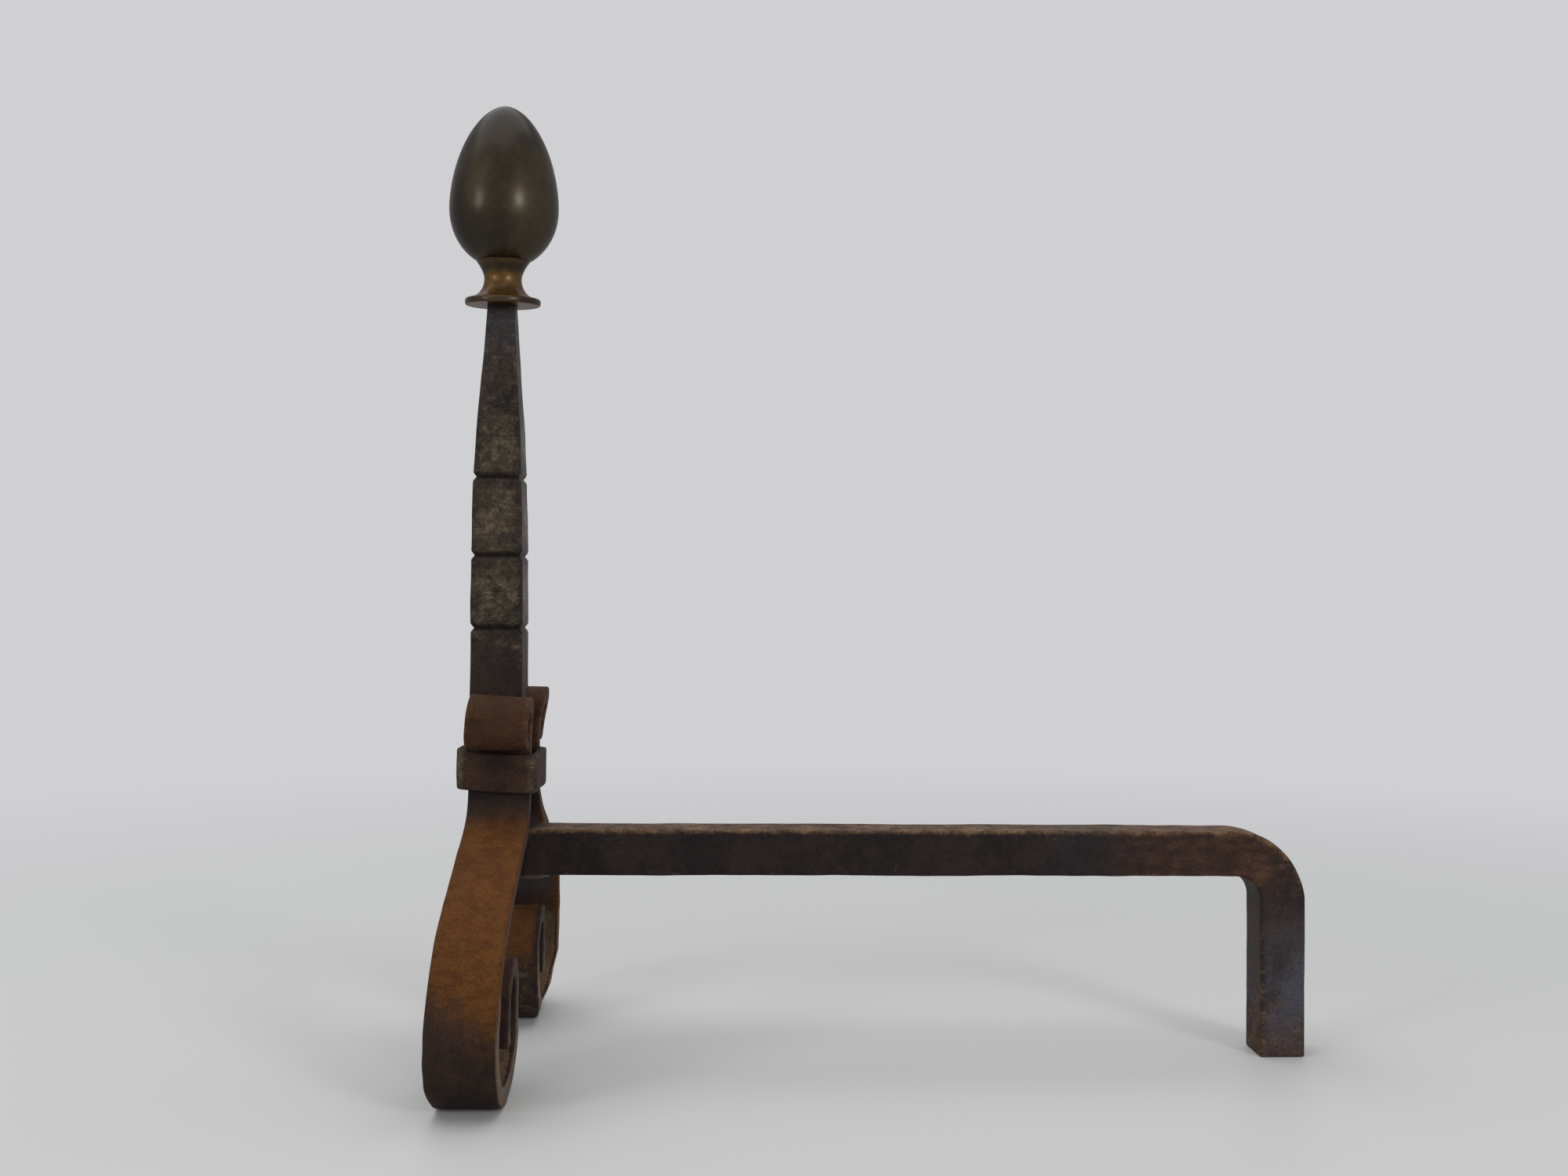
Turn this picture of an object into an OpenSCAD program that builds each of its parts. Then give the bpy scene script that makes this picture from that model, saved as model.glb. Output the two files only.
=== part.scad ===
// Forged andiron: tapered upright with an egg finial, two scrolled flat
// legs held by a collar, and a square billet bar bent down into a rear leg.
// Frame: +Z up, the front faces -Y, the billet bar runs to +Y, the scroll
// legs spread to +X and -X. The origin is on the floor, under the middle of
// the bounding box. Lengths are in millimetres.

/* [Overall] */
// floor to the tip of the egg
overall_height = 423; // [400:1:460]
// floor to the top face of the billet bar
log_rest_height = 101; // [94:1:110]
// front face of the upright to the back of the rear leg
overall_depth = 373; // [301:2:461]
// width over the two foot scrolls
leg_spread = 196; // [184:2:212]

/* [Bar stock] */
// side of the square upright below the taper
upright_size = 23; // [21:0.5:25]
// side of the square billet bar
billet_size = 20; // [17:0.5:22]
// width of the flat bar at the collar, front to back
flat_width = 27.5; // [25:0.5:31]
// thickness of the flat bar
flat_thickness = 8; // [6.5:0.5:9]
// hammered bevel along the arrises of the bars
arris = 1.2; // [0.8:0.1:1.6]

/* [Upright] */
// side of the square at the top of the taper
upright_top = 12; // [11:0.5:14]
// depth of the chiselled grooves
groove_depth = 1.2; // [0.6:0.1:1.6]
// height of the chiselled grooves
groove_height = 4.4; // [3:0.2:6]

/* [Scrolls] */
// outside diameter of the foot scroll
foot_scroll_d = 60; // [54:1:64]
// how far the feet lean forward of the collar
foot_rake = 3; // [0:0.2:5]
// how much wider the bar is hammered out at the feet
foot_flare = 1; // [0:0.2:3]
// slope of the ogee between collar and foot scroll, below level
ogee_slope = 30; // [26:1:34]
// radius of the bend where the leg leaves the collar
ogee_radius = 22; // [18:1:26]
// outside diameter of the small roll above the collar
roll_d = 24; // [22:0.5:27]
// thickness of the flat bar at the tip of the roll
roll_tip = 4.4; // [3.8:0.2:5.2]

/* [Collar] */
// height of the collar band
collar_height = 16.4; // [13:0.4:18]
// thickness of the collar band
collar_thickness = 3; // [2.5:0.25:4]
// thickness of the collar in front, where it was hammered shut
collar_front = 4.5; // [3:0.25:6]
// tilt of the collar, front side high
collar_tilt = 3; // [0:0.5:5]

/* [Rear leg] */
// inside radius of the bend into the rear leg
bend_inside = 9; // [7:0.5:14]

/* [Finial] */
// greatest diameter of the egg
egg_d = 48.4; // [42:0.2:54]
// height of the egg above the neck
egg_height = 69; // [60:1:76]
// diameter of the flange under the neck
flange_d = 33.5; // [28:0.5:38]
// diameter of the neck at its narrowest
neck_d = 16.4; // [14:0.2:19]

/* [Fits] */
// radial clearance of the stud in its bores
stud_clearance = 0.04; // [0.02:0.01:0.08]
// radial clearance of the rivet in its holes
rivet_clearance = 0.04; // [0.02:0.01:0.08]
// width of the butt seam at the back of the collar
seam_gap = 0.6; // [0.4:0.1:1]

/* [Hidden] */
$fn = 96;
iron = "#3b332d";
rusty = "#5a3a26";
brass = "#6b5a30";

hu = upright_size / 2;
hb = billet_size / 2;
top_z = log_rest_height;
bar_bottom = top_z - billet_size;
flat_mid = hu + flat_thickness / 2;
flat_out = hu + flat_thickness;
front_y = -hu;
back_y = front_y + flat_width;
rear_y = overall_depth - hu;

pedestal_height = 18.8;
pedestal_z = overall_height - egg_height - pedestal_height;
egg_z = overall_height - egg_height;

// frame shift along Y: middle of the bounding box
front_most = -max(egg_d / 2, collar_front - front_y);
y_shift = -(front_most + rear_y) / 2;

// heights of the collar and of the grooves
collar_z = top_z + 26.8;
leg_bend_z = top_z + 20;
roll_z = collar_z + collar_height / 2 + 2.2 + roll_d / 2;
taper_foot = bar_bottom;
groove_z = [
    collar_z + (pedestal_z - collar_z) * 0.301,
    collar_z + (pedestal_z - collar_z) * 0.455,
    collar_z + (pedestal_z - collar_z) * 0.622,
];

stud_d = 6;
stud_reach = 14;
rivet_d = 8;
rivet_head_d = 12;
rivet_head = 2.2;

// ---- outline of the upright: half width at a height ----
// parallel to the first groove, drawn in a little at the next two, then an
// even taper from a knee above the third
knee_z = groove_z[2] + (pedestal_z - groove_z[2]) / 4;
taper_points = [
    [taper_foot, 0], [groove_z[0], 0], [groove_z[1], 0.02],
    [groove_z[2], 0.15], [knee_z, 0.28], [pedestal_z, 1],
];
function taper(z) = hu - (hu - upright_top / 2) * lookup(z, taper_points);

// share of the groove depth at steps across its height: rounded shoulders
groove_steps = [[-1, 0], [-0.62, 0.12], [-0.34, 0.42], [-0.1, 0.92],
                [0.1, 0.92], [0.34, 0.42], [0.62, 0.12], [1, 0]];
outline_levels = concat(
    [[taper_foot, arris * 0.8], [taper_foot + arris * 0.8, 0]],
    [for (g = groove_z) for (s = groove_steps)
        [g + s[0] * groove_height / 2, s[1] * groove_depth]],
    [[pedestal_z, 0]]);

// outline polygon; k widens it for the pair set across the corners
function level_half(l, across) =
    across ? (2 * (taper(l[0]) - l[1]) - arris) / sqrt(2)
           : taper(l[0]) - l[1];

module upright_outline(across) {
    polygon(concat(
        [for (l = outline_levels) [level_half(l, across), l[0]]],
        [for (i = [len(outline_levels) - 1:-1:0])
            [-level_half(outline_levels[i], across), outline_levels[i][0]]]));
}

module upright_wall(turn, across) {
    rotate([0, 0, turn])
        translate([0, 40, 0])
            rotate([90, 0, 0])
                linear_extrude(80)
                    upright_outline(across);
}

// ---- flat bar bent to a chain of tangent arcs ----
// a state is [x, z, heading, length]; a step is [radius, turn]
// (radius 0 is a straight of that length); right turns are negative
function walk(p, step) =
    step[0] == 0
    ? [p[0] + step[1] * cos(p[2]), p[1] + step[1] * sin(p[2]),
       p[2], p[3] + step[1]]
    : let (s = sign(step[1]), r = step[0], e = p[2] + step[1])
      [p[0] + s * r * (sin(e) - sin(p[2])),
       p[1] - s * r * (cos(e) - cos(p[2])),
       e, p[3] + r * abs(step[1]) * PI / 180];

// small steps along the chain, about a spacing apart
function part_steps(step, spacing) =
    let (n = step[0] == 0 ? 1
           : max(2, ceil(max(abs(step[1]) / 6, step[0] * abs(step[1]) * PI / 180 / spacing))))
    [for (i = [1:n]) [step[0], step[1] / n]];

function chain_steps(steps, spacing) =
    [for (s = steps) for (t = part_steps(s, spacing)) t];

function chain(start, steps, i = 0) =
    i == len(steps) ? [start]
    : concat([start], chain(walk(start, steps[i]), steps, i + 1));

// thickness along the chain: full up to from, then down to tip at the end
function thickness(l, from, total, tip) =
    l <= from ? flat_thickness
    : flat_thickness + (tip - flat_thickness) * (l - from) / (total - from);

function side_points(pts, from, tip, side) =
    let (total = pts[len(pts) - 1][3])
    [for (p = pts)
        let (h = side * thickness(p[3], from, total, tip) / 2)
        [p[0] - h * sin(p[2]), p[1] + h * cos(p[2])]];

function reversed(v) = [for (i = [len(v) - 1:-1:0]) v[i]];

module bent_flat(pts, from, tip) {
    polygon(concat(side_points(pts, from, tip, 1),
                   reversed(side_points(pts, from, tip, -1))));
}

// foot scroll: ogee solved so that it lands on the widest point
foot_r = foot_scroll_d / 2 - flat_thickness / 2;
foot_u = leg_spread / 2 - flat_thickness / 2;
foot_sink = 0.35;
foot_z = foot_scroll_d / 2 - foot_sink;
run_a = foot_u - flat_mid - ogee_radius * (1 - sin(ogee_slope));
run_b = leg_bend_z - ogee_radius * cos(ogee_slope) - foot_z;
haunch_r = (run_b * cos(ogee_slope) - run_a * sin(ogee_slope)) / (1 - sin(ogee_slope));
ogee_straight = (run_a * cos(ogee_slope) - run_b * (1 - sin(ogee_slope)))
    / (1 - sin(ogee_slope));

foot_steps = [
    [0, roll_z - leg_bend_z],
    [ogee_radius, 90 - ogee_slope],
    [0, ogee_straight],
    [haunch_r, ogee_slope - 90],
    [foot_r, -180],
    [0, foot_scroll_d * 0.15],
    [foot_scroll_d * 0.217, -90],
    [foot_scroll_d * 0.167, -90],
    [0, foot_scroll_d * 0.33],
];

// roll above the collar: over, straight down, then tighter turns under
roll_r = roll_d / 2 - flat_thickness / 2;
roll_steps = [
    [roll_r, -180],
    [0, roll_d * 0.14],
    [roll_r * 0.78, -90],
    [roll_r * 0.4, -50],
];

module leg_profile() {
    foot = chain([flat_mid, roll_z, -90, 0], chain_steps(foot_steps, 2.2));
    roll = chain([flat_mid, roll_z, 90, 0], chain_steps(roll_steps, 1.6));
    bent_flat(foot, foot[len(foot) - 1][3] * 0.86, flat_thickness * 0.9);
    bent_flat(roll, 0, roll_tip);
}

// side outline of a leg: straight through the collar just behind the front
// of the upright, forward and wider at the foot, further back at the roll
flat_set = 0.9;
function ease(t) = let (u = min(1, max(0, t))) u * u * (3 - 2 * u);
function foot_ease(z) = ease((leg_bend_z - 3 - z) / (leg_bend_z - 3 - foot_z * 0.8));
function roll_ease(z) = ease((z - leg_bend_z - 20) / (roll_d + 4));
function leg_front(z) =
    front_y + flat_set - (foot_rake + flat_set + foot_flare / 2) * foot_ease(z)
    + 1.9 * roll_ease(z);
function leg_back(z) =
    back_y - (foot_rake - foot_flare / 2) * foot_ease(z) + 1.6 * roll_ease(z);
leg_levels = concat([-5], [for (i = [0:14]) foot_z * 0.8
    + (leg_bend_z - 3 - foot_z * 0.8) * i / 14],
    [for (i = [0:4]) leg_bend_z + 20 + (roll_d + 4) * i / 4], [roll_z + roll_d + 20]);

module leg_side() {
    polygon(concat([for (z = leg_levels) [leg_front(z), z]],
                   [for (z = reversed(leg_levels)) [leg_back(z), z]]));
}

module leg_blank() {
    intersection() {
        translate([0, back_y + 10, 0])
            rotate([90, 0, 0])
                linear_extrude(flat_width + 30)
                    leg_profile();
        translate([-5, 0, 0])
            rotate([90, 0, 90])
                linear_extrude(leg_spread)
                    leg_side();
    }
}

module rivet_hole(extra) {
    rotate([0, 90, 0])
        cylinder(d = rivet_d + extra, h = 2 * flat_out + 2, center = true);
}

module rivet_sinks(extra) {
    for (s = [-1, 1])
        rotate([0, s * 90, 0])
            translate([0, 0, flat_out - rivet_head])
                cylinder(d1 = rivet_d + extra, d2 = rivet_head_d + extra, h = rivet_head);
}

module scroll_leg() {
    difference() {
        leg_blank();
        translate([0, 0, -10])
            cube([400, 400, 20], center = true);
        translate([0, 0, collar_z]) {
            rivet_hole(2 * rivet_clearance);
            rivet_sinks(2 * rivet_clearance);
        }
    }
}

// ---- nodes, modelled about the axis of the upright ----
module upright() {
    color(iron)
        translate([0, y_shift, 0])
            difference() {
                intersection() {
                    upright_wall(0, false);
                    upright_wall(90, false);
                    upright_wall(45, true);
                    upright_wall(135, true);
                }
                translate([0, 0, pedestal_z - stud_reach - 0.5])
                    cylinder(r = stud_d / 2 + stud_clearance, h = stud_reach + 2);
                translate([0, 0, collar_z])
                    rivet_hole(2 * rivet_clearance);
                for (s = [-1, 1])
                    translate([s * (hu + 1.7), 0, (groove_z[0] + groove_z[1]) / 2 + 1])
                        sphere(d = 5.2);
            }
}

module scroll_leg_right() {
    color(rusty)
        translate([0, y_shift, 0])
            scroll_leg();
}

module scroll_leg_left() {
    color(rusty)
        translate([0, y_shift, 0])
            mirror([1, 0, 0])
                scroll_leg();
}

// band bent round the bundle with easy corners, thicker in front
module collar_plan() {
    r = collar_thickness * 1.6;
    x = flat_out + collar_thickness;
    low = front_y - collar_front;
    high = back_y + collar_thickness;
    for (side = [-1, 1])
        for (y = [low + r, high - r])
            translate([side * (x - r), y])
                circle(r = r);
    translate([-x, low + r])
        square([2 * x, high - low - 2 * r]);
    translate([r - x, low])
        square([2 * (x - r), high - low]);
}

module collar() {
    color(iron)
        translate([0, y_shift, 0])
            difference() {
                intersection() {
                    translate([0, 0, collar_z - 20])
                        linear_extrude(40)
                            collar_plan();
                    translate([0, 0, collar_z])
                        rotate([-collar_tilt, 0, 0])
                            cube([200, 200, collar_height], center = true);
                }
                translate([-flat_out, front_y, collar_z - 25])
                    cube([2 * flat_out, flat_width, 50]);
                translate([-seam_gap / 2, back_y - 1, collar_z - 25])
                    cube([seam_gap, collar_thickness + 2, 50]);
            }
}

// square section with bevelled arrises, centred
module bar_section() {
    h = hb;
    c = arris * 1.3;
    polygon([[h - c, -h], [h, c - h], [h, h - c], [h - c, h],
             [c - h, h], [-h, h - c], [-h, c - h], [c - h, -h]]);
}

bend_mid = bend_inside + hb;

module billet_bar() {
    color(iron)
        translate([0, y_shift, 0]) {
            translate([0, hu, top_z - hb])
                rotate([-90, 0, 0])
                    linear_extrude(rear_y - hb - bend_mid - hu)
                        bar_section();
            translate([0, rear_y - hb - bend_mid, top_z - hb - bend_mid])
                rotate([90, 0, 90])
                    rotate_extrude(angle = 90)
                        translate([bend_mid, 0])
                            bar_section();
            translate([0, rear_y - hb, 0])
                linear_extrude(top_z - hb - bend_mid)
                    bar_section();
        }
}

// shallow domed pad across the joint, flat against both undersides
module billet_weld() {
    color(iron)
        translate([0, y_shift + hu + 4, bar_bottom])
            difference() {
                translate([0, 0, 13.2])
                    sphere(r = 16);
                translate([-30, -30, 0])
                    cube([60, 60, 60]);
            }
}

// turned flange, cove and flared neck
neck_z = pedestal_height * 0.58;

module finial_pedestal() {
    f = flange_d / 2;
    n = neck_d / 2;
    cove = (f - n) * 0.88;
    color(brass)
        translate([0, y_shift, pedestal_z])
            rotate_extrude()
                polygon(concat(
                    [[stud_d / 2 + stud_clearance, 0], [f - 0.8, 0], [f - 0.3, 0.4],
                     [f, 2.2], [f - 0.3, 2.6]],
                    [for (a = [0:7.5:90])
                        [n + cove * (1 - sin(a)), 2.7 + (neck_z - 2.7) * (1 - cos(a))]],
                    [for (i = [1:12])
                        [n + (egg_foot_r - n) * pow(i / 12, 1.6),
                         neck_z + (pedestal_height - neck_z) * i / 12]],
                    [[stud_d / 2 + stud_clearance, pedestal_height]]));
}

// egg: pointed crown over a fuller lower part
egg_wide = 0.338 * egg_height;
egg_low = egg_wide * 1.129;
function egg_up(t) = pow(max(0, 1 - pow(t, 1.8)), 0.53);
function egg_down(t) = pow(max(0, 1 - pow(t, 2.05)), 0.5);
egg_foot_r = egg_d / 2 * egg_down(egg_wide / egg_low);

module finial_egg() {
    bore = stud_d / 2 + stud_clearance;
    r = egg_d / 2;
    color(brass)
        translate([0, y_shift, egg_z])
            rotate_extrude()
                polygon(concat(
                    [[0, stud_reach + 0.5], [bore, stud_reach + 0.5], [bore, 0]],
                    [for (i = [0:20])
                        let (t = 1 - i / 20)
                        [r * egg_down(t * egg_wide / egg_low), egg_wide * (1 - t)]],
                    [for (a = [3:3:87])
                        [r * egg_up(sin(a)), egg_wide + (egg_height - egg_wide) * sin(a)]],
                    [[0, egg_height]]));
}

module finial_stud() {
    color(iron)
        translate([0, y_shift, pedestal_z - stud_reach])
            cylinder(d = stud_d, h = 2 * stud_reach + pedestal_height);
}

module bundle_rivet() {
    color(iron)
        translate([0, y_shift, collar_z]) {
            rotate([0, 90, 0])
                cylinder(d = rivet_d, h = 2 * flat_out, center = true);
            rivet_sinks(0);
        }
}

upright();
scroll_leg_right();
scroll_leg_left();
collar();
billet_bar();
billet_weld();
finial_pedestal();
finial_egg();
finial_stud();
bundle_rivet();
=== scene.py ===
"""Looks of the forged andiron: hammered bars, scrolled feet, turned brass egg.

Shapes are worked out in millimetres about the axis of the upright, where
x = y = 0 and z = 0 is the floor, and go into the meshes in metres.
"""

import math

import bpy
import numpy as np
from mathutils import Matrix, Vector


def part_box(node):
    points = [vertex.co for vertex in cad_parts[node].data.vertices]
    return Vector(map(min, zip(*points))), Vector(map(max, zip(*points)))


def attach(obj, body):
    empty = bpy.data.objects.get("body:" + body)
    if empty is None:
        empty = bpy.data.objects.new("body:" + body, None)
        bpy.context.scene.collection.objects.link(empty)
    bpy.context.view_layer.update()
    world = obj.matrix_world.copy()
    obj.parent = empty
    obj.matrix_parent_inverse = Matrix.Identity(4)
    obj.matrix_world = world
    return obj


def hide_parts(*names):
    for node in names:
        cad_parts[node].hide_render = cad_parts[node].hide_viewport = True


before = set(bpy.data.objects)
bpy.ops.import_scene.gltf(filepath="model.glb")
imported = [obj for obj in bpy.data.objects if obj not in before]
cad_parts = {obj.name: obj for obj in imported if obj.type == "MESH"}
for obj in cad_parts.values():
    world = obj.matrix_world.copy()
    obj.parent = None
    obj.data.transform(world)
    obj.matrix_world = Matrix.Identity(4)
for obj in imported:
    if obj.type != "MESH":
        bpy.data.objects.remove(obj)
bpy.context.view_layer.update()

MM = 0.001
UPRIGHT_LOW, UPRIGHT_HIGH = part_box("upright")
AXIS_Y = (UPRIGHT_LOW.y + UPRIGHT_HIGH.y) / 2


def cad_span(node):
    """Lowest and highest corner of a CAD node, in mm about the upright's axis."""
    low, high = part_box(node)
    axis = np.array([0.0, AXIS_Y, 0.0])
    return (np.array(low) - axis) / MM, (np.array(high) - axis) / MM


# ---------------------------------------------------------------- sizes, mm
# what the boxes of the solids don't give is repeated here from the part's sizes
HALF_UPRIGHT = (UPRIGHT_HIGH.x - UPRIGHT_LOW.x) / 2 / MM
HALF_TOP = 6.0
FLAT_THICK = 8.0
FLAT_WIDE = 27.5
BILLET = 20.0
COLLAR_Z = sum(corner[2] for corner in cad_span("bundle_rivet")) / 2
LEG_BEND_Z = 121.0
BAR_HIGH = cad_span("billet_bar")[1]
UPRIGHT_FOOT = UPRIGHT_LOW.z / MM
PEDESTAL_Z = UPRIGHT_HIGH.z / MM
EGG_Z = cad_span("finial_egg")[0][2]
EGG_TOP = cad_span("finial_egg")[1][2]
GROOVE_SHARES = (0.301, 0.455, 0.622)
GROOVES = [COLLAR_Z + (PEDESTAL_Z - COLLAR_Z) * share for share in GROOVE_SHARES]


# ---------------------------------------------------------------- shape tools
def ease(t):
    """Smooth step: 3 t^2 - 2 t^3, held at 0 and 1 outside."""
    t = np.clip(t, 0, 1)
    return t * t * (3 - 2 * t)


def bump_at(value, centre, width):
    """Bell of height 1 at the centre: exp(-((value - centre) / width)^2)."""
    return np.exp(-(((value - centre) / width) ** 2))


def unevenness(points, size, seed):
    """Hand-forged unevenness, about -2 to 2, with swells some `size` mm apart.

    Sum of 16 sine waves with seeded directions, wavelengths of 1.4 to 3 sizes
    and phases, over the square root of half their number.
    """
    waves = 16
    rng = np.random.default_rng(seed)
    direction = rng.normal(size=(3, waves))
    direction /= np.linalg.norm(direction, axis=0)
    turns = 2 * math.pi / (size * rng.uniform(1.4, 3.0, waves))
    phase = rng.uniform(0, 2 * math.pi, waves)
    return np.sin(points @ (direction * turns) + phase).sum(-1) / math.sqrt(waves / 2)


def bar_ring(sides, arc):
    """Rounded oblong round a bar, anticlockwise, as rows [px, py, nx, ny, near].

    A point lies at (half - r) p + r n, so sides are straight and corners are
    quarter circles; near is 0 in the middle of a side and 1 at the corners.
    sides gives the points along the two kinds of side, arc those of a corner.
    """
    rows = []
    for quarter, count in enumerate((sides[0], sides[1]) * 2):
        c = round(math.cos(quarter * math.pi / 2))
        s = round(math.sin(quarter * math.pi / 2))
        t = np.linspace(-1, 1, count + 2)[1:-1]
        flat = np.column_stack([c - s * t, s + c * t, 0 * t + c, 0 * t + s, np.abs(t)])
        a = quarter * math.pi / 2 + np.linspace(0, math.pi / 2, arc)
        bend = np.column_stack([0 * a + c - s, 0 * a + s + c, np.cos(a), np.sin(a),
                                0 * a + 1])
        rows += [flat, bend]
    return np.concatenate(rows)


def section(ring, half_a, half_b, corner, swell=0.0):
    """Offsets across a bar: (half - corner) p + (corner + swell) n for each row."""
    px, py, nx, ny, _ = ring.T
    return ((half_a - corner) * px + (corner + swell) * nx,
            (half_b - corner) * py + (corner + swell) * ny)


def end_round(distance, radius):
    """How far a section draws in near an end: r - sqrt(r^2 - (r - d)^2)."""
    short = np.clip(radius - distance, 0, radius)
    return radius - np.sqrt(radius ** 2 - short ** 2)


def end_rows(length, spacing, radius):
    """Distances from 0 to length, close together where the ends are rounded."""
    near = radius * (1 - np.cos(np.linspace(0, math.pi / 2, 6)))
    middle = np.linspace(radius, length - radius, max(2, int(length / spacing)))
    return np.concatenate([near[:-1], middle, (length - near[:-1])[::-1]])


def tangent_path(x, z, heading, steps, spacing):
    """Points along straights and arcs that run on smoothly from one another.

    A step is [0, length] or [radius, turn in degrees], turning left when
    positive. Along an arc x = x0 + s r (sin h - sin h0) and
    z = z0 - s r (cos h - cos h0). Rows are [x, z, heading, length].
    """
    heading = math.radians(heading)
    rows = [np.array([[x, z, heading, 0.0]])]
    for radius, amount in steps:
        x, z, heading, length = rows[-1][-1]
        turn = 0.0 if radius == 0 else math.radians(amount)
        run = amount if radius == 0 else radius * abs(turn)
        t = np.linspace(0, 1, max(2, math.ceil(run / spacing)) + 1)[1:]
        h = heading + turn * t
        if radius == 0:
            px, pz = x + run * t * math.cos(heading), z + run * t * math.sin(heading)
        else:
            side = math.copysign(radius, turn)
            px = x + side * (np.sin(h) - math.sin(heading))
            pz = z - side * (np.cos(h) - math.cos(heading))
        rows.append(np.column_stack([px, pz, h, length + run * t]))
    return np.concatenate(rows)


def closed_ends(points, marks):
    """Draws the first and last row in to 90 % and 45 %, ready for a centre point."""
    def drawn(end, shares):
        middle = points[end].mean(0)
        return np.stack([middle + (points[end] - middle) * share for share in shares])
    points = np.concatenate([drawn(0, (0.45, 0.9)), points, drawn(-1, (0.9, 0.45))])
    marks = {name: np.concatenate([m[:1], m[:1], m, m[-1:], m[-1:]])
             for name, m in marks.items()}
    return points, marks


def make_piece(name, points, marks, material, slot, *nodes):
    """Mesh of a grid (rows, columns, 3) in mm whose columns close round.

    The first and last rows close on a centre point. Marks are one number for
    each grid point, kept as attributes that the materials read. The faces are
    turned over when the volume, a sixth of the sum of a . (b x c), is negative.
    """
    points, marks = closed_ends(points, marks)
    rows, columns = points.shape[:2]
    verts = np.concatenate([points.reshape(-1, 3), points[:1].mean(1),
                            points[-1:].mean(1)])
    at = np.arange(rows * columns).reshape(rows, columns)
    beside = np.roll(at, -1, axis=1)
    quads = np.stack([at[:-1], beside[:-1], beside[1:], at[1:]], -1).reshape(-1, 4)
    first, last = rows * columns, rows * columns + 1
    fans = np.concatenate([
        np.stack([np.full(columns, first), beside[0], at[0]], -1),
        np.stack([np.full(columns, last), at[-1], beside[-1]], -1)])
    corners = np.concatenate([quads[:, [0, 1, 2]], quads[:, [0, 2, 3]], fans])
    a, b, c = (verts[corners[:, k]] for k in range(3))
    if np.einsum("ij,ij->", a, np.cross(b, c)) < 0:
        quads, fans = quads[:, ::-1], fans[:, ::-1]
    mesh = bpy.data.meshes.new(name)
    placed = verts * MM + np.array([0.0, AXIS_Y, 0.0])
    mesh.from_pydata(placed.tolist(), [], quads.tolist() + fans.tolist())
    for mark, values in marks.items():
        layer = mesh.attributes.new(mark, "FLOAT", "POINT")
        whole = np.concatenate([values.ravel(), values[:1].mean(1), values[-1:].mean(1)])
        layer.data.foreach_set("value", whole.astype(np.float32))
    mesh.shade_smooth()
    mesh.materials.append(material)
    piece = bpy.data.objects.new(name, mesh)
    bpy.context.scene.collection.objects.link(piece)
    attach(piece, "root")
    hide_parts(*nodes)


# ---------------------------------------------------------------- materials
def linear(code):
    """sRGB hex to linear: ((c + 0.055) / 1.055)^2.4, or c / 12.92 near black."""
    values = [int(code[i:i + 2], 16) / 255 for i in (1, 3, 5)]
    return [c / 12.92 if c <= 0.04045 else ((c + 0.055) / 1.055) ** 2.4
            for c in values] + [1.0]


def cells(wide):
    """Texture scale whose cells are `wide` mm on Object coordinates in metres.

    The blotches of a noise are about half as wide as its cells.
    """
    return 1000 / wide


def add(tree, kind, inputs=None, **settings):
    """Adds a shader node with its settings and links, and returns it.

    An input is a plain value, a socket to link, or a node whose first output
    is linked.
    """
    made = tree.nodes.new("ShaderNode" + kind)
    for key, value in settings.items():
        setattr(made, key, value)
    for key, value in (inputs or {}).items():
        if isinstance(value, bpy.types.Node):
            value = value.outputs[0]
        if isinstance(value, bpy.types.NodeSocket):
            tree.links.new(value, made.inputs[key])
        else:
            made.inputs[key].default_value = value
    return made


# settings that many nodes share
SMOOTH = {"interpolation_type": "SMOOTHSTEP"}
COLOURS = {"data_type": "RGBA"}
TIMES = {"operation": "MULTIPLY"}
TIMES_PLUS = {"operation": "MULTIPLY_ADD"}


def new_material(name):
    """An empty node material and its tree."""
    material = bpy.data.materials.new(name)
    material.use_nodes = True
    material.node_tree.nodes.clear()
    return material, material.node_tree


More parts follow.
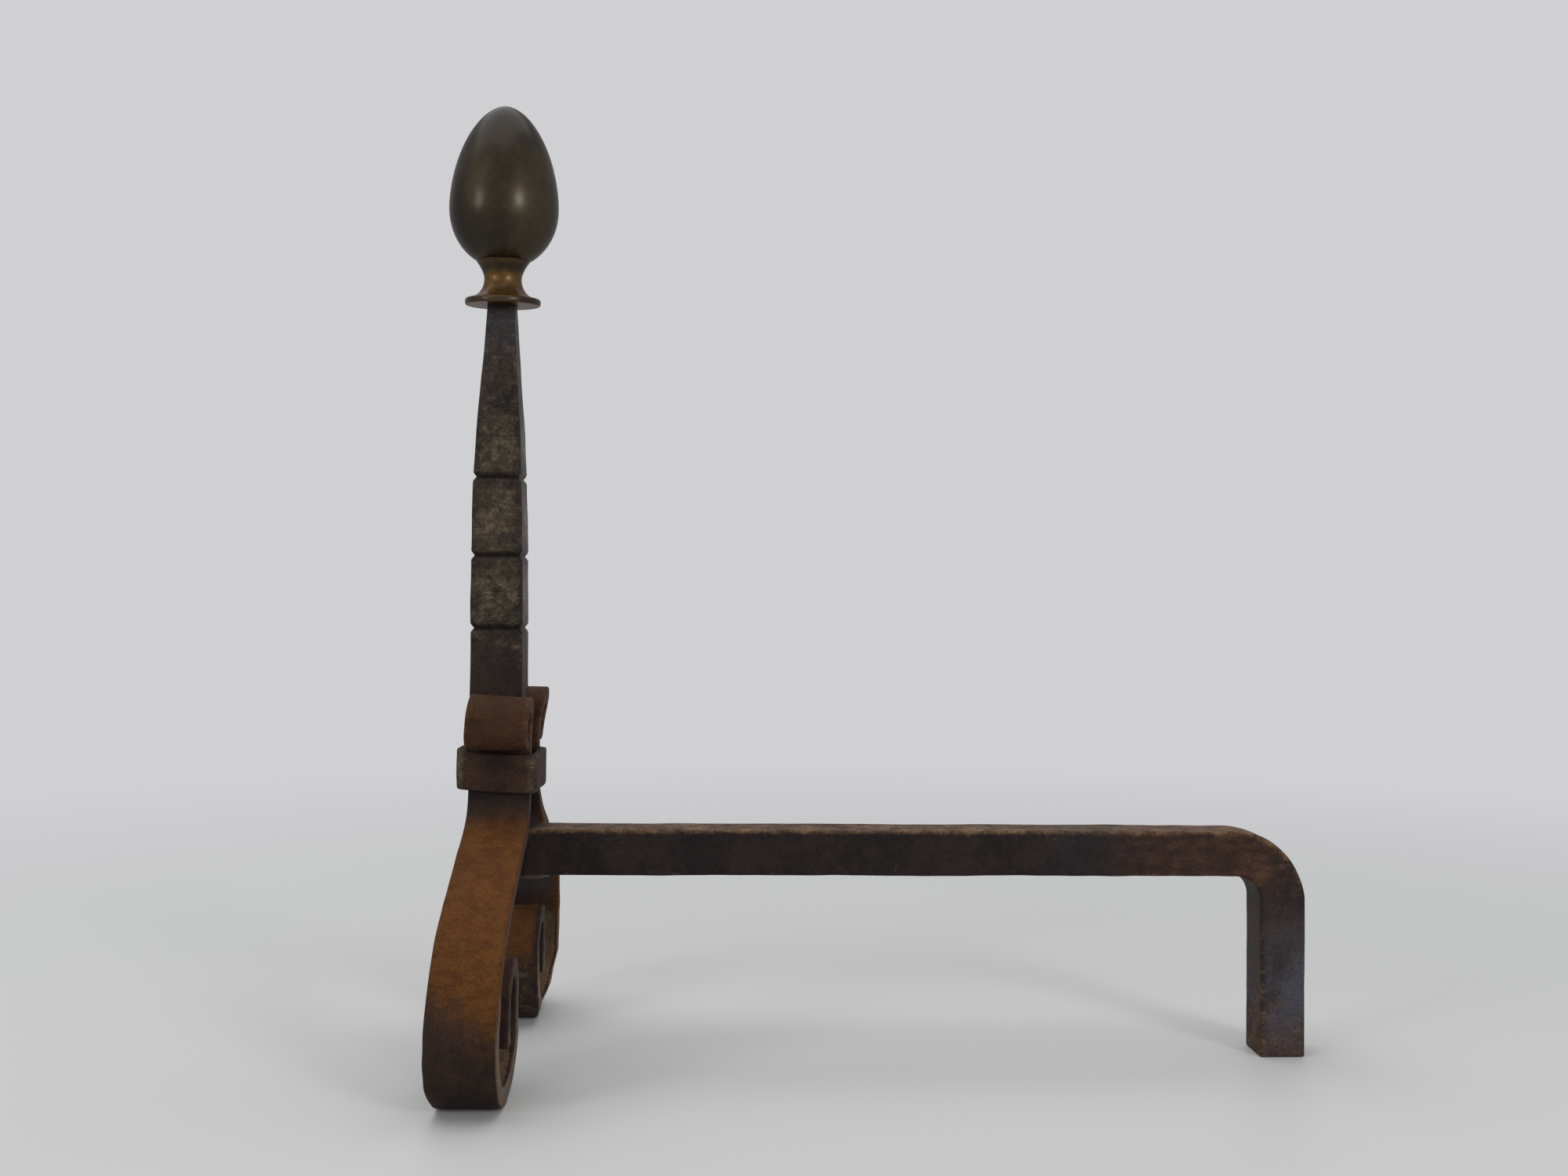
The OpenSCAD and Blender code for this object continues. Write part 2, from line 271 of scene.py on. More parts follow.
def forged_iron(name, skin, rust, wear_and_light, rough):
    """Hammer-forged wrought iron under its oxide.

    skin, rust and the third pair are [dark, light] colours of the oxide, of the
    rust bloom and of iron rubbed bright, which also paints light where a piece
    marks it. The four marks of a piece say where rust, rubbing and painted light,
    temper blue, and soot and painted shade lie; a mark added to a noise and
    passed through a smooth step frays its edge.
    """
    material, tree = new_material(name)
    place = add(tree, "TexCoord").outputs["Object"]
    marks = {mark: add(tree, "Attribute", attribute_name=mark).outputs["Fac"]
             for mark in ("rust", "wear_and_light", "blue", "soot_and_shade")}
    # oxide clouds some 11 mm across, the size of a hammer's blow
    clouds = add(tree, "TexNoise", {"Vector": place, "Scale": cells(22), "Detail": 5.0,
                                    "Roughness": 0.62})
    # scale flakes 2.5 mm across
    flakes = add(tree, "TexNoise", {"Vector": place, "Scale": cells(5), "Detail": 8.0,
                                    "Roughness": 0.74, "Distortion": 0.6})
    # rubbing strokes across the bars, 4.5 mm wide and 1.7 mm high
    level = add(tree, "Mapping", {"Vector": place, "Scale": (1.0, 1.0, 2.6)})
    strokes = add(tree, "TexNoise", {"Vector": level, "Scale": cells(9), "Detail": 7.0,
                                     "Roughness": 0.7})
    # scratches along the rubbing, 3.5 mm long and 0.4 mm high
    fine_level = add(tree, "Mapping", {"Vector": place, "Scale": (1.0, 1.0, 9.0)})
    scratches = add(tree, "TexNoise", {"Vector": fine_level, "Scale": cells(7),
                                       "Detail": 3.0, "Roughness": 0.6})
    # rust grain: real grain is 0.2 mm, drawn at 0.65 mm so that it shows
    grain = add(tree, "TexNoise", {"Vector": place, "Scale": cells(1.3), "Detail": 3.0,
                                   "Roughness": 0.75})
    # corrosion pits some 3 mm apart
    pits = add(tree, "TexVoronoi", {"Vector": place, "Scale": cells(3.2),
                                    "Randomness": 1.0}, feature="SMOOTH_F1")

    # the three layers, each between its dark and its light colour
    mottled = add(tree, "Math", {0: flakes, 1: 0.7, 2: clouds}, **TIMES_PLUS)
    layers = []
    for spread, low, high, (dark, light) in (
            (mottled, 0.68, 1.02, skin), (strokes, 0.36, 0.62, rust),
            (flakes, 0.36, 0.66, wear_and_light)):
        share = add(tree, "MapRange", {"Value": spread, "From Min": low,
                                       "From Max": high}, **SMOOTH)
        layers.append(add(tree, "Mix", {"Factor": share, 6: linear(dark),
                                        7: linear(light)}, **COLOURS).outputs[2])
    colour, bloom, bright = layers

    # where each coat lies
    rust_edge = add(tree, "Math", {0: flakes, 1: 0.7, 2: marks["rust"]}, **TIMES_PLUS)
    rust_share = add(tree, "MapRange", {"Value": rust_edge, "From Min": 0.4,
                                        "From Max": 1.15}, **SMOOTH)
    # rubbed iron, and painted light where a piece marks it so
    wear_and_light_edge = marks["wear_and_light"]
    for noise, weight in ((strokes, 1.5), (grain, 0.5), (flakes, 0.8)):
        wear_and_light_edge = add(tree, "Math", {0: noise, 1: weight, 2: wear_and_light_edge}, **TIMES_PLUS)
    wear_and_light_share = add(tree, "MapRange", {"Value": wear_and_light_edge, "From Min": 1.55,
                                        "From Max": 2.5, "To Max": 0.9}, **SMOOTH)
    fine = add(tree, "MapRange", {"Value": scratches, "From Min": 0.63, "From Max": 0.74},
               **SMOOTH)
    scratch_share = add(tree, "Math", {0: marks["wear_and_light"], 1: fine}, **TIMES)
    cloudy = add(tree, "MapRange", {"Value": clouds, "From Min": 0.3, "From Max": 0.55,
                                    "To Min": 0.35}, **SMOOTH)
    blue_share = add(tree, "Math", {0: marks["blue"], 1: cloudy}, **TIMES)
    # near black for soot, and for the painted shade that some pieces mark
    soot_and_shade_share = add(tree, "Math", {0: marks["soot_and_shade"], 1: 0.85}, **TIMES)
    for share, coat in (
            (rust_share, bloom), (wear_and_light_share, bright), (scratch_share, linear("#817a6b")),
            (blue_share, linear("#45444b")), (soot_and_shade_share, linear("#0c0909"))):
        colour = add(tree, "Mix", {"Factor": share, 6: colour, 7: coat},
                     **COLOURS).outputs[2]
    grain_light = add(tree, "MapRange", {"Value": grain, "From Min": 0.28,
                                         "From Max": 0.72, "To Min": 0.76,
                                         "To Max": 1.27}, **SMOOTH)
    colour = add(tree, "VectorMath", {0: colour, "Scale": grain_light}, operation="SCALE")

    # rust is duller than oxide, rubbed iron glossier and partly bare metal
    dull = add(tree, "MapRange", {"Value": rust_share, "To Min": rough,
                                  "To Max": rough + 0.18}, **SMOOTH)
    gloss = add(tree, "Math", {0: wear_and_light_share, 1: -0.14, 2: dull}, **TIMES_PLUS)
    roughness = add(tree, "Math", {0: grain, 1: 0.1, 2: gloss}, **TIMES_PLUS)
    bare = add(tree, "Math", {0: wear_and_light_share, 1: 0.5}, **TIMES)
    coarse = add(tree, "Math", {0: flakes, 1: 0.7, 2: grain}, **TIMES_PLUS)
    relief = add(tree, "Math", {0: pits, 1: 0.35, 2: coarse}, **TIMES_PLUS)
    bump = add(tree, "Bump", {"Height": relief, "Strength": 0.6, "Distance": 0.6 * MM})
    iron = add(tree, "BsdfPrincipled", {
        "Base Color": colour, "Roughness": roughness, "Metallic": bare,
        "Specular IOR Level": 0.15, "Normal": bump})
    add(tree, "OutputMaterial", {"Surface": iron})
    return material


def turned_brass(name):
    """Lathe-turned cast brass under a century of brown patina.

    The patina is a dark olive skin that mirrors softly; rubbing has left it
    thin and golden on the neck, where the golden also paints the lamps' highlights,
    and under the flange the golden paints the floor's reflection. The last of the
    soot sits in the corners; the same dark mark paints a dark reflection on the
    egg. The two marks of a piece say where the golden and the dark lie.
    """
    material, tree = new_material(name)
    place = add(tree, "TexCoord").outputs["Object"]
    golden_and_sheen, soot_and_shade = (add(tree, "Attribute", attribute_name=mark).outputs["Fac"]
                    for mark in ("golden_and_sheen", "soot_and_shade"))
    # patina clouds some 13 mm across and specks of 1.5 mm
    clouds = add(tree, "TexNoise", {"Vector": place, "Scale": cells(26), "Detail": 4.0,
                                    "Roughness": 0.55})
    specks = add(tree, "TexNoise", {"Vector": place, "Scale": cells(3), "Detail": 4.0,
                                    "Roughness": 0.65})
    # turning lines: real ones are 0.1 mm apart, drawn 1.2 mm apart up the axis
    round_axis = add(tree, "Mapping", {"Vector": place, "Scale": (0.02, 0.02, 1.0)})
    lines = add(tree, "TexNoise", {"Vector": round_axis, "Scale": cells(1.2),
                                   "Detail": 2.0})

    golden_and_sheen_edge = add(tree, "Math", {0: specks, 1: 0.5, 2: golden_and_sheen}, **TIMES_PLUS)
    patina_share = add(tree, "MapRange", {"Value": clouds, "From Min": 0.36,
                                          "From Max": 0.64}, **SMOOTH)
    golden_and_sheen_share = add(tree, "MapRange", {"Value": golden_and_sheen_edge, "From Min": 0.4,
                                          "From Max": 1.2}, **SMOOTH)
    colour = linear("#2c241a")
    # golden for rubbed brass and for painted highlights and reflections; near black for
    # soot and for a painted dark reflection
    for share, coat in ((patina_share, "#3c3324"), (golden_and_sheen_share, "#6b4c1f"),
                        (soot_and_shade, "#16110d")):
        colour = add(tree, "Mix", {"Factor": share, 6: colour, 7: linear(coat)},
                     **COLOURS).outputs[2]
    speck_light = add(tree, "MapRange", {"Value": specks, "From Min": 0.3,
                                         "From Max": 0.7, "To Min": 0.86,
                                         "To Max": 1.12}, **SMOOTH)
    colour = add(tree, "VectorMath", {0: colour, "Scale": speck_light}, operation="SCALE")
    roughness = add(tree, "MapRange", {"Value": specks, "From Min": 0.3, "From Max": 0.7,
                                       "To Min": 0.4, "To Max": 0.5})
    relief = add(tree, "Math", {0: lines, 1: 0.4, 2: specks}, **TIMES_PLUS)
    bump = add(tree, "Bump", {"Height": relief, "Strength": 0.12, "Distance": 0.4 * MM})
    brass = add(tree, "BsdfPrincipled", {
        "Base Color": colour, "Roughness": roughness, "Metallic": 0.7,
        "Specular IOR Level": 0.2, "Specular Tint": linear("#a39a88"),
        "Coat Weight": 0.28, "Coat Roughness": 0.24, "Normal": bump})
    add(tree, "OutputMaterial", {"Surface": brass})
    return material


# black-brown forge scale, rubbed to greenish grey on the blocks
DARK_IRON = forged_iron("forged_iron_dark", ["#191211", "#2f241e"],
                        ["#2f2019", "#3e2b20"], ["#403728", "#675d4a"], 0.5)
# the same iron with an orange-brown bloom of rust
RUSTY_IRON = forged_iron("forged_iron_rusted", ["#1f1511", "#2e2019"],
                         ["#4c2c12", "#5c3816"], ["#5a4634", "#6c5741"], 0.58)
# blue-black fire scale, browner where the fire was cooler
SCALED_IRON = forged_iron("forged_iron_fire_scaled", ["#160f0f", "#271b19"],
                          ["#34231e", "#4d3527"], ["#4c3c2c", "#7f6648"], 0.48)
AGED_BRASS = turned_brass("turned_brass_patinated")


# ---------------------------------------------------------------- upright
UPRIGHT_EDGE = 0.8
GROOVE_DEEP = 1.35
GROOVE_HALF = 2.2
DOT_DEEP = 0.9
DOT_WIDE = 2.1
DOT_Z = (GROOVES[0] + GROOVES[1]) / 2
UPRIGHT_BOW = 0.45


def upright_half(z):
    """Half width: full to the first groove, a little less at the next, then tapered.

    At z = 296 a hollow 0.25 mm deep was hammered into the taper.
    """
    low, middle, high = GROOVES
    knee = high + (PEDESTAL_Z - high) / 4
    drop = np.interp(z, [low, middle, high, knee, PEDESTAL_Z], [0, 0.02, 0.15, 0.28, 1])
    return HALF_UPRIGHT - (HALF_UPRIGHT - HALF_TOP) * drop - 0.25 * bump_at(z, 296, 26)


def make_upright():
    """Square bar with three chiselled grooves and a punched dot on each side.

    The half width at height z is upright_half(z) less, at each groove, a
    V with rounded shoulders 1.35 (1 - |d| / 2.2)^1.4 deep; faces are pillowed
    by 0.15 mm and wander by 0.1 mm, and the bar bows 0.45 mm to the front.
    """
    z = end_rows(PEDESTAL_Z - UPRIGHT_FOOT, 1.1, UPRIGHT_EDGE) + UPRIGHT_FOOT
    close = np.concatenate([g + np.linspace(-3.2, 3.2, 33) for g in GROOVES])
    z = np.sort(np.concatenate([z, close]))[:, None]
    ring = bar_ring((15, 15), 5)
    near = ring[:, 4]
    groove = sum(np.clip(1 - np.abs(z - g) / GROOVE_HALF, 0, 1) ** 1.4 for g in GROOVES)
    ends = end_round(np.minimum(z - UPRIGHT_FOOT, PEDESTAL_Z - z), UPRIGHT_EDGE)
    half = upright_half(z) - GROOVE_DEEP * groove - ends
    corner = 0.9 + 0.3 * ease((z - 190) / 60)
    a, b = section(ring, half, half, corner)
    base = np.stack([a, b, z + 0 * a], -1)
    wander = 0.07 * unevenness(base, 16, 11) + 0.04 * unevenness(base, 6, 12)
    pillow = 0.15 * (1 - near ** 2) * (1 - groove)
    fade = ease((z - UPRIGHT_FOOT) / 6)
    a, b = section(ring, half, half, corner, (wander + pillow - 0.1) * fade)
    face = np.abs(ring[:, 2]) > 0.99
    dot = np.where(face, bump_at(np.hypot(b, z - DOT_Z), 0, DOT_WIDE), 0)
    a = a - np.sign(a) * DOT_DEEP * dot
    bow = -UPRIGHT_BOW * bump_at(z, 250, 65)
    points = np.stack([a, b + bow, z + 0 * a], -1)

    # rubbed bright on the blocks between and above the grooves
    mids = [DOT_Z, (GROOVES[1] + GROOVES[2]) / 2, GROOVES[2] + 16]
    block = np.clip(sum(bump_at(z, m, 12) for m in mids), 0, 1)
    wear_and_light = (0.5 * block * (1 - near ** 4) + 0.1 * near ** 6 + 0.25 * ease((z - 165) / 20)
            + 0.1 * ease((z - 290) / 20))
    # darker in the grooves and in the punched dot; at the top, under the flange, painted
    # shade
    soot_and_shade = np.clip(1.1 * groove + dot + 0.8 * bump_at(z, PEDESTAL_Z, 4), 0, 1)
    rust = 0.3 * (1 - ease((z - 160) / 60)) + 0.05 + 0.9 * dot
    blue = 0.3 * ease((z - 300) / 25) + 0 * a
    marks = {"wear_and_light": wear_and_light + 0 * a, "soot_and_shade": soot_and_shade, "rust": rust, "blue": blue}
    make_piece("upright_forged", points, marks, DARK_IRON, "dark_iron", "upright")


# ---------------------------------------------------------------- scroll legs
FOOT_OUT = 60.0
FOOT_SINK = 0.35
OGEE_RADIUS = 22.0
OGEE_SLOPE = 30.0
ROLL_OUT = 24.0
ROLL_TIP = 4.4
FLAT_SET = 0.9
FOOT_RAKE = 3.0
FOOT_FLARE = 1.0
ROLL_Z = COLLAR_Z + 10.4 + ROLL_OUT / 2
FOOT_Z = FOOT_OUT / 2 - FOOT_SINK
LEG_EDGE = 0.9
LEG_CORNER = 1.0
# on the right the end of the scroll stands back, and the roll sits low and dips
# by a share of y
RIGHT_EYE_BACK = 0.8
RIGHT_ROLL_LOW = 0.4
RIGHT_ROLL_DIP = 0.07
# the left leg is bent less true: how far it stands back at each height, and how
# far back and up its roll sits
HAUNCH_Z = [0, 3, 10, 17.5, 26, 85, 118]
HAUNCH_BACK = [-2.8, -2.4, 0.7, 1.9, 4.0, 4.2, 0]
LEFT_ROLL_BACK = 2.3
LEFT_ROLL_UP = 1.3


def leg_path():
    """Centreline of a leg in (x, z), from the tip of the roll to the tongue.

    The ogee is solved so that the foot scroll stands under its widest point:
    with a and b the run out and down that the straight and the haunch share,
    haunch r = (b cos s - a sin s) / (1 - sin s), straight = (a cos s - b (1 -
    sin s)) / (1 - sin s). Rows are [x, z, heading, thickness].
    """
    middle = HALF_UPRIGHT + FLAT_THICK / 2
    spread = cad_span("scroll_leg_right")[1][0]
    foot_radius = FOOT_OUT / 2 - FLAT_THICK / 2
    s = math.radians(OGEE_SLOPE)
    out = spread - FLAT_THICK / 2 - middle - OGEE_RADIUS * (1 - math.sin(s))
    down = LEG_BEND_Z - OGEE_RADIUS * math.cos(s) - FOOT_Z
    haunch = (down * math.cos(s) - out * math.sin(s)) / (1 - math.sin(s))
    straight = (out * math.cos(s) - down * (1 - math.sin(s))) / (1 - math.sin(s))
    foot = tangent_path(middle, ROLL_Z, -90, [
        [0, ROLL_Z - LEG_BEND_Z], [OGEE_RADIUS, 90 - OGEE_SLOPE], [0, straight],
        [haunch, OGEE_SLOPE - 90], [foot_radius, -180], [0, FOOT_OUT * 0.15],
        [FOOT_OUT * 0.217, -90], [FOOT_OUT * 0.167, -90], [0, FOOT_OUT * 0.33]], 1.1)
    roll_radius = ROLL_OUT / 2 - FLAT_THICK / 2
    roll = tangent_path(middle, ROLL_Z, 90, [
        [roll_radius, -180], [0, ROLL_OUT * 0.15], [roll_radius * 0.78, -90],
        [roll_radius * 0.4, -50]], 0.7)
    thin = np.interp(foot[:, 3] / foot[-1, 3], [0.86, 1], [FLAT_THICK, 0.9 * FLAT_THICK])
    curl = np.interp(roll[:, 3] / roll[-1, 3], [0, 1], [FLAT_THICK, ROLL_TIP])
    down_leg = np.column_stack([foot[:, :3], thin])
    up_roll = np.column_stack([roll[:, :2], roll[:, 2] + math.pi, curl])[:0:-1]
    return np.concatenate([up_roll, down_leg])


def toward_foot(z):
    """0 at the bend below the collar, 1 at the foot scroll."""
    return ease((LEG_BEND_Z - 3 - z) / (LEG_BEND_Z - 3 - FOOT_Z * 0.8))


def toward_roll(z):
    """0 above the collar, 1 at the roll."""
    return ease((z - LEG_BEND_Z - 20) / (ROLL_OUT + 4))


def leg_front(z):
    """Front edge: just behind the upright's, forward at the foot, back at the roll.

    Under the foot it draws back by 1.4 mm.
    """
    forward = (FOOT_RAKE + FLAT_SET + FOOT_FLARE / 2) * toward_foot(z)
    under = 1.4 * ease((16 - z) / 16)
    return FLAT_SET - HALF_UPRIGHT - forward + under + 1.9 * toward_roll(z)


def leg_back(z):
    """Back edge: leans a little less, and stands further back at the roll."""
    forward = (FOOT_RAKE - FOOT_FLARE / 2) * toward_foot(z)
    return FLAT_WIDE - HALF_UPRIGHT - forward + 1.8 * toward_roll(z)


def make_leg(name, side, node, seed):
    """Flat bar 27.5 x 8 mm carried along leg_path, mirrored for the left side.

    A ring point lies `a` along the path's normal and `b` across the width,
    where y = middle(z) + b width(z) / 27.5; edges are rounded by 1 mm and
    faces wander by 0.1 mm. Nothing goes below the floor. On the right the roll
    dips towards the back and the scroll ends 0.8 mm further back; the left leg
    is bent less true: its haunch stands up to 4.2 mm further back, its roll
    2.3 mm back and 1.3 mm higher.
    """
    x, z, heading, thick = (column[:, None] for column in leg_path().T)
    steps = np.hypot(np.diff(x, axis=0), np.diff(z, axis=0))
    length = np.concatenate([[[0.0]], np.cumsum(steps, axis=0)])
    total = length[-1, 0]
    rows = end_rows(total, 1.15, LEG_EDGE)
    x, z, heading, thick = (
        np.interp(rows, length[:, 0], column[:, 0])[:, None]
        for column in (x, z, heading, thick))
    from_end = np.minimum(rows, total - rows)[:, None]
    ring = bar_ring((22, 7), 5)
    near = ring[:, 4]
    ends = end_round(from_end, LEG_EDGE)
    in_eye = ease((-math.pi - heading) / 1.1)

    def placed(swell):
        a, b = section(ring, thick / 2 - ends, FLAT_WIDE / 2 - ends, LEG_CORNER, swell)
        px = x - a * np.sin(heading)
        pz = z + a * np.cos(heading)
        front, back = leg_front(pz), leg_back(pz)
        py = (front + back) / 2 + b * (back - front) / FLAT_WIDE
        roll = toward_roll(pz)
        if side > 0:
            py = py + RIGHT_EYE_BACK * in_eye
            pz = pz - RIGHT_ROLL_DIP * (py - 2) * roll - RIGHT_ROLL_LOW * roll
        else:
            haunch = np.interp(pz, HAUNCH_Z, HAUNCH_BACK)
            py = py + (1 - in_eye) * haunch + LEFT_ROLL_BACK * roll
            pz = pz + LEFT_ROLL_UP * roll
        return a, b, np.stack([px, py, np.maximum(pz, 0)], -1)

    a, b, base = placed(0.0)
    joint = ease((np.abs(base[..., 2] - COLLAR_Z) - 12) / 12)
    wander = 0.09 * unevenness(base, 15, seed) + 0.05 * unevenness(base, 5, seed + 1)
    a, b, points = placed(wander * joint)

    px, pz = points[..., 0], points[..., 2]
    limit = cad_span(node)[1][0] if side > 0 else -cad_span(node)[0][0]
    px = np.minimum(px, limit)

    # rust blooms down the outward face, the bowl of the scroll is lighter, the back
    # edge low down is rubbed pale and carries a painted highlight; painted shade lies
    # under the collar, on the inner faces, in the eye and on the tongue, it darkens
    # towards the floor, and temper blue lies inside the ogee
    in_eye = in_eye + 0 * px
    before_eye = 1 - in_eye
    off_edge = 1 - near ** 8
    outward = np.where(a > 0, 1.0, 0.0) * off_edge
    inside = np.where(a < 0, 1.0, 0.0) * off_edge
    bloom = ease((117 - pz) / 24) * ease((pz + 0.65 * b - 25) / 42)
    bowl = inside * before_eye * ease((50 - pz) / 10)
    near_bowl = inside * in_eye * ease((31 - pz) / 12)
    # the back edge low down is rubbed pale, and its pale line also paints a highlight
    back_edge = ease((ring[:, 3] - 0.4) / 0.4) * ease((58 - pz) / 25) * (1 - 0.6 * in_eye)
    tongue = ease((-2 * math.pi - heading) / 0.8) * off_edge
    low = ease((42 - pz) / 22)
    rust = (0.08
            + bloom * before_eye * (0.35 + 0.65 * outward + 0.45 * near ** 8)
            * (1 - 0.6 * bowl)
            + 0.3 * ease((pz - COLLAR_Z - 6) / 6)
            + 0.5 * in_eye * outward * ease((pz - 25) / 15))
    wear_and_light = ((0.45 * in_eye * outward + 0.2 * (side < 0) * before_eye) * low
            + near ** 10 * (0.1 * before_eye + 0.2 * ease((pz - 130) / 20))
            + 1.95 * bowl + 1.5 * near_bowl + back_edge)
    # painted shade under the collar, on the inner faces, in the eye and on the tongue;
    # darker towards the floor
    soot_and_shade = (0.6 * bump_at(pz, COLLAR_Z - 9, 5)
            + 0.25 * ease((12 - pz) / 12) * before_eye
            + 0.2 * inside * before_eye * ease((pz - 50) / 12)
            + 0.4 * in_eye * inside * (1 - near_bowl)
            + 0.5 * tongue)
    blue = 0.6 * inside * before_eye * ease((108 - pz) / 10) * ease((pz - 50) / 10)
    marks = {"rust": rust, "wear_and_light": wear_and_light, "soot_and_shade": np.clip(soot_and_shade, 0, 1), "blue": blue}
    points[..., 0] = px * side
    make_piece(name, points, marks, RUSTY_IRON, "rusty_iron", node)


# ---------------------------------------------------------------- collar
COLLAR_THICK = 3.0
COLLAR_FRONT = 4.2
COLLAR_HIGH = 16.4
COLLAR_SEAM = 0.6
COLLAR_TILT = math.radians(3)
# the middle of the bundle, front to back, which the tilt turns about
BUNDLE_Y = FLAT_WIDE / 2 - HALF_UPRIGHT


def make_collar():
    """Band wrapped hot round the three bars, butted at the back, front side high.

    Inside it follows the oblong of the bundle with 0.9 mm corners, outside one
    3 mm larger (4.2 mm in front) with 4.8 mm corners. A section 16.4 mm high
    spans the two, crowned 0.2 mm, and stands on a line that rises 3 degrees to
    the front. Round the front it is 1.4 mm higher. Its edges wander by 0.2 mm.
    """
    path = bar_ring((41, 57), 9)
    start = np.argmin(np.abs(path[:, 0]) + np.abs(path[:, 3] - 1))
    path = np.roll(path, -start, axis=0)
    half_x = HALF_UPRIGHT + FLAT_THICK
    seam = COLLAR_SEAM / 2 / half_x
    path = np.concatenate([[[-seam, 1, 0, 1, 0]], path[1:], [[seam, 1, 0, 1, 0]]])
    bx, by, nx, ny, _ = path.T

    def oblong(grow, front, corner):
        low, high = -HALF_UPRIGHT - front, FLAT_WIDE - HALF_UPRIGHT + grow
        return np.column_stack([
            (half_x + grow - corner) * bx + corner * nx,
            (low + high) / 2 + ((high - low) / 2 - corner) * by + corner * ny])

    inner, outer = oblong(0, 0, 0.9), oblong(COLLAR_THICK, COLLAR_FRONT, 4.8)
    thick = np.hypot(*(outer - inner).T)[:, None]
    away = (outer - inner) / thick
    band = bar_ring((25, 5), 5)
    outside = np.where(band[:, 0] > 0, 1 - band[:, 4] ** 2, 0)
    guide = np.stack([outer[:, :1] + 0 * outside, outer[:, 1:] + 0 * outside,
                      COLLAR_HIGH / 2 * band[:, 1] + 0 * thick], -1)
    crown = 0.12 * unevenness(guide, 8, 32) - 0.05 + 0.25 * outside
    across, up = section(band, thick / 2, COLLAR_HIGH / 2, 0.8)
    across = across + crown * (across > 0)
    middle = (inner + outer) / 2
    px, py = middle[:, :1] + away[:, :1] * across, middle[:, 1:] + away[:, 1:] * across
    ragged = 0.18 * unevenness(guide * [1, 1, 0.2], 9, 31) * np.sign(up)
    rise = (BUNDLE_Y - py) * math.tan(COLLAR_TILT) + 1.4 * ease((-9 - py) / 6) * (up > 0)
    points = np.stack([px, py, COLLAR_Z + up + ragged + rise], -1)

    rim = band[:, 4] ** 6
    front_corner = bump_at(py, -14.5, 2.6) * bump_at(np.abs(px), 22, 2.6)
    rear_corner = bump_at(py, 17.5, 2.6) * bump_at(np.abs(px), 22, 3)
    wear_and_light = 0.85 * (front_corner + rear_corner) * (1 - 0.3 * rim) + 0.2 * rim
    # painted shadow of the roll above, on the middle of each side, stronger towards the
    # top
    soot_and_shade = (0.8 * bump_at(py, 3, 8) * ease((np.abs(px) - 20.5) / 1.5)
            * (0.5 + 0.5 * ease((up + 2) / 6)))
    marks = {"wear_and_light": wear_and_light, "soot_and_shade": np.clip(soot_and_shade, 0, 1), "rust": 0.7 + 0 * px}
    make_piece("collar_band", points, marks, DARK_IRON, "dark_iron", "collar")


# ---------------------------------------------------------------- billet bar
BEND_OUTSIDE = 32.5
BEND_INSIDE = 11.5
BAR_CLIMB = 0.75
BAR_EDGE = 0.9
# rows along the straight, round the bend and down the leg
RUN_ROWS, BEND_ROWS, LEG_ROWS = 220, 40, 50


